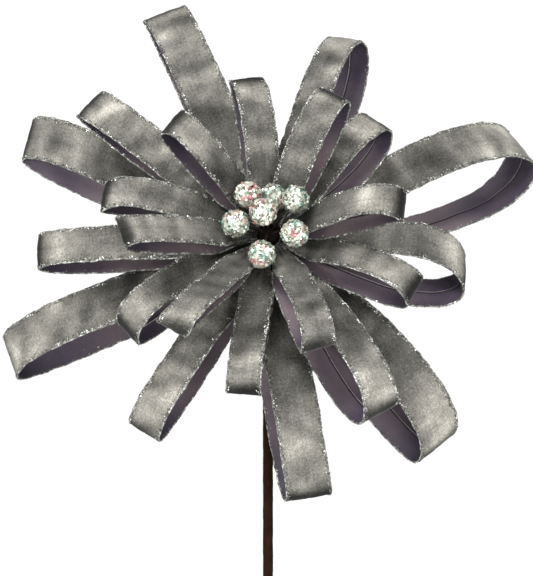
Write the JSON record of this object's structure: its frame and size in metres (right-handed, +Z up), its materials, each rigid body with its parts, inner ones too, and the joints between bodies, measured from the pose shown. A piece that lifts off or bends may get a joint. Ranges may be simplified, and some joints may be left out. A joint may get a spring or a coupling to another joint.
{
  "type": "pre-made gift bow",
  "caption": "Ribbon-loop gift bow on a wired stem: long, medium and short velvet loops round a cluster of glitter balls.",
  "frame": {"origin": "the middle of the stem's cut end", "axes": "+Z runs up the stem; the bow's face looks along -Y and 25 degrees up; +X is the viewer's right"},
  "size_m": [0.2663, 0.1757, 0.3167],
  "materials": {
    "ribbon": "satin",
    "glitter_ball": "gloss",
    "floral_tape": "matte",
    "taped_wire": "matte",
    "ball_wire": "matte",
    "steel_wire": "satin"
  },
  "bodies": {
    "stem": {"stem_wire": "steel_wire", "stem_tape": "floral_tape"},
    "head": {"head_bundle": "taped_wire", "binding_wire_1": "steel_wire", "binding_wire_2": "steel_wire", "binding_wire_3": "steel_wire"},
    "long_loop_1": {"long_loop_1": "ribbon"},
    "long_loop_2": {"long_loop_2": "ribbon"},
    "long_loop_3": {"long_loop_3": "ribbon"},
    "long_loop_4": {"long_loop_4": "ribbon"},
    "long_loop_5": {"long_loop_5": "ribbon"},
    "long_loop_6": {"long_loop_6": "ribbon"},
    "medium_loop_1": {"medium_loop_1": "ribbon"},
    "medium_loop_2": {"medium_loop_2": "ribbon"},
    "medium_loop_3": {"medium_loop_3": "ribbon"},
    "medium_loop_4": {"medium_loop_4": "ribbon"},
    "medium_loop_5": {"medium_loop_5": "ribbon"},
    "medium_loop_6": {"medium_loop_6": "ribbon"},
    "short_loop_1": {"short_loop_1": "ribbon"},
    "short_loop_2": {"short_loop_2": "ribbon"},
    "short_loop_3": {"short_loop_3": "ribbon"},
    "short_loop_4": {"short_loop_4": "ribbon"},
    "short_loop_5": {"short_loop_5": "ribbon"},
    "short_loop_6": {"short_loop_6": "ribbon"},
    "short_loop_7": {"short_loop_7": "ribbon"},
    "short_loop_8": {"short_loop_8": "ribbon"},
    "short_loop_9": {"short_loop_9": "ribbon"},
    "short_loop_10": {"short_loop_10": "ribbon"},
    "short_loop_11": {"short_loop_11": "ribbon"},
    "short_loop_12": {"short_loop_12": "ribbon"},
    "ball_1": {"ball_1": "glitter_ball", "ball_wire_1": "ball_wire"},
    "ball_2": {"ball_2": "glitter_ball", "ball_wire_2": "ball_wire"},
    "ball_3": {"ball_3": "glitter_ball", "ball_wire_3": "ball_wire"},
    "ball_4": {"ball_4": "glitter_ball", "ball_wire_4": "ball_wire"},
    "ball_5": {"ball_5": "glitter_ball", "ball_wire_5": "ball_wire"},
    "ball_6": {"ball_6": "glitter_ball", "ball_wire_6": "ball_wire"},
    "ball_7": {"ball_7": "glitter_ball", "ball_wire_7": "ball_wire"}
  },
  "joints": [
    {"name": "neck_bend", "type": "hinge", "parent": "stem", "child": "head", "pos_m": [0, 0, 0.19], "axis": [-1, 0, 0], "range_deg": [-3, 75]},
    {"name": "long_loop_1_bend", "type": "hinge", "parent": "head", "child": "long_loop_1", "pos_m": [0.00765, -0.00445, 0.19466], "axis": [0.5299, -0.3584, -0.7686], "range_deg": [-30, 10]},
    {"name": "long_loop_2_bend", "type": "hinge", "parent": "head", "child": "long_loop_2", "pos_m": [-0.0018, -0.00214, 0.1996], "axis": [0.9397, 0.1445, 0.31], "range_deg": [-30, 30]},
    {"name": "long_loop_3_bend", "type": "hinge", "parent": "head", "child": "long_loop_3", "pos_m": [-0.00719, -0.00396, 0.19571], "axis": [0.5878, 0.3419, 0.7332], "range_deg": [-30, 7]},
    {"name": "long_loop_4_bend", "type": "hinge", "parent": "head", "child": "long_loop_4", "pos_m": [-0.00671, -0.00728, 0.18859], "axis": [-0.2588, 0.4082, 0.8754], "range_deg": [-25.5, 2]},
    {"name": "long_loop_5_bend", "type": "hinge", "parent": "head", "child": "long_loop_5", "pos_m": [0.00014, -0.00882, 0.18529], "axis": [-0.9848, -0.0734, -0.1574], "range_deg": [-2, 4]},
    {"name": "long_loop_6_bend", "type": "hinge", "parent": "head", "child": "long_loop_6", "pos_m": [0.00604, -0.00766, 0.18778], "axis": [-0.7431, -0.2828, -0.6064], "range_deg": [-30, 8]},
    {"name": "medium_loop_1_bend", "type": "hinge", "parent": "head", "child": "medium_loop_1", "pos_m": [0.00274, -0.00589, 0.20104], "axis": [0.9455, -0.1376, -0.2951], "range_deg": [-30, 3]},
    {"name": "medium_loop_2_bend", "type": "hinge", "parent": "head", "child": "medium_loop_2", "pos_m": [-0.00566, -0.00667, 0.19935], "axis": [0.6561, 0.319, 0.684], "range_deg": [-7, 4]},
    {"name": "medium_loop_3_bend", "type": "hinge", "parent": "head", "child": "medium_loop_3", "pos_m": [-0.008, -0.009, 0.19435], "axis": [-0.0175, 0.4226, 0.9062], "range_deg": [-2, 5]},
    {"name": "medium_loop_4_bend", "type": "hinge", "parent": "head", "child": "medium_loop_4", "pos_m": [-0.00388, -0.01202, 0.18788], "axis": [-0.829, 0.2363, 0.5068], "range_deg": [-14, 2]},
    {"name": "medium_loop_5_bend", "type": "hinge", "parent": "head", "child": "medium_loop_5", "pos_m": [0.00447, -0.01187, 0.18821], "axis": [-0.8746, -0.2049, -0.4394], "range_deg": [-4, 1.5]},
    {"name": "medium_loop_6_bend", "type": "hinge", "parent": "head", "child": "medium_loop_6", "pos_m": [0.00796, -0.00942, 0.19347], "axis": [-0.0872, -0.421, -0.9029], "range_deg": [-11, 28]},
    {"name": "short_loop_1_bend", "type": "hinge", "parent": "head", "child": "short_loop_1", "pos_m": [0.00796, -0.01596, 0.19837], "axis": [-0.1219, -0.4195, -0.8996], "range_deg": [-5, 5]},
    {"name": "short_loop_2_bend", "type": "hinge", "parent": "head", "child": "short_loop_2", "pos_m": [0.0063, -0.01061, 0.20038], "axis": [0.766, -0.2717, -0.5826], "range_deg": [-3, 7]},
    {"name": "short_loop_3_bend", "type": "hinge", "parent": "head", "child": "short_loop_3", "pos_m": [0.004, -0.01339, 0.20389], "axis": [0.8829, -0.1984, -0.4255], "range_deg": [-8, 5.5]},
    {"name": "short_loop_4_bend", "type": "hinge", "parent": "head", "child": "short_loop_4", "pos_m": [-0.0007, -0.00932, 0.20314], "axis": [0.9877, 0.0661, 0.1418], "range_deg": [-10, 7.5]},
    {"name": "short_loop_5_bend", "type": "hinge", "parent": "head", "child": "short_loop_5", "pos_m": [-0.00388, -0.01336, 0.20395], "axis": [0.6293, 0.3284, 0.7043], "range_deg": [-5, 3]},
    {"name": "short_loop_6_bend", "type": "hinge", "parent": "head", "child": "short_loop_6", "pos_m": [-0.00719, -0.01121, 0.19909], "axis": [0.1219, 0.4195, 0.8996], "range_deg": [-5, 5]},
    {"name": "short_loop_7_bend", "type": "hinge", "parent": "head", "child": "short_loop_7", "pos_m": [-0.00796, -0.01667, 0.19685], "axis": [-0.3256, 0.3996, 0.8569], "range_deg": [-15, 3.5]},
    {"name": "short_loop_8_bend", "type": "hinge", "parent": "head", "child": "short_loop_8", "pos_m": [-0.00693, -0.01438, 0.19229], "axis": [-0.6428, 0.3237, 0.6943], "range_deg": [-4, 2]},
    {"name": "short_loop_9_bend", "type": "hinge", "parent": "head", "child": "short_loop_9", "pos_m": [-0.004, -0.01924, 0.19133], "axis": [-0.829, 0.2363, 0.5068], "range_deg": [-3, 1]},
    {"name": "short_loop_10_bend", "type": "hinge", "parent": "head", "child": "short_loop_10", "pos_m": [-0.00194, -0.01597, 0.18888], "axis": [-0.9925, 0.0515, 0.1105], "range_deg": [-2, 2]},
    {"name": "short_loop_11_bend", "type": "hinge", "parent": "head", "child": "short_loop_11", "pos_m": [0.00376, -0.0193, 0.19121], "axis": [-0.9563, -0.1236, -0.265], "range_deg": [-2, 8]},
    {"name": "short_loop_12_bend", "type": "hinge", "parent": "head", "child": "short_loop_12", "pos_m": [0.00736, -0.01401, 0.19308], "axis": [-0.4695, -0.3732, -0.8002], "range_deg": [-15, 5]},
    {"name": "ball_1_bend", "type": "hinge", "parent": "head", "child": "ball_1", "pos_m": [-0.002, -0.01927, 0.20145], "axis": [-0.7443, -0.2822, -0.6052], "range_deg": [-4, 3]},
    {"name": "ball_2_bend", "type": "hinge", "parent": "head", "child": "ball_2", "pos_m": [0.00058, -0.01897, 0.20209], "axis": [-0.9809, 0.0822, 0.1763], "range_deg": [-2, 5]},
    {"name": "ball_3_bend", "type": "hinge", "parent": "head", "child": "ball_3", "pos_m": [0.00257, -0.01956, 0.20082], "axis": [-0.5145, 0.3624, 0.7772], "range_deg": [-5, 6]},
    {"name": "ball_4_bend", "type": "hinge", "parent": "head", "child": "ball_4", "pos_m": [0, -0.02021, 0.19942], "axis": [0.6919, -0.3051, -0.6544], "range_deg": [-6, 6]},
    {"name": "ball_5_bend", "type": "hinge", "parent": "head", "child": "ball_5", "pos_m": [-0.00288, -0.02056, 0.19868], "axis": [0.2747, -0.4064, -0.8714], "range_deg": [-6, 3.5]},
    {"name": "ball_6_bend", "type": "hinge", "parent": "head", "child": "ball_6", "pos_m": [0.00232, -0.02101, 0.1977], "axis": [0.6322, 0.3274, 0.7022], "range_deg": [-6, 20]},
    {"name": "ball_7_bend", "type": "hinge", "parent": "head", "child": "ball_7", "pos_m": [-0.00046, -0.02146, 0.19674], "axis": [0.9883, -0.0644, -0.1382], "range_deg": [-6, 1]}
  ]
}
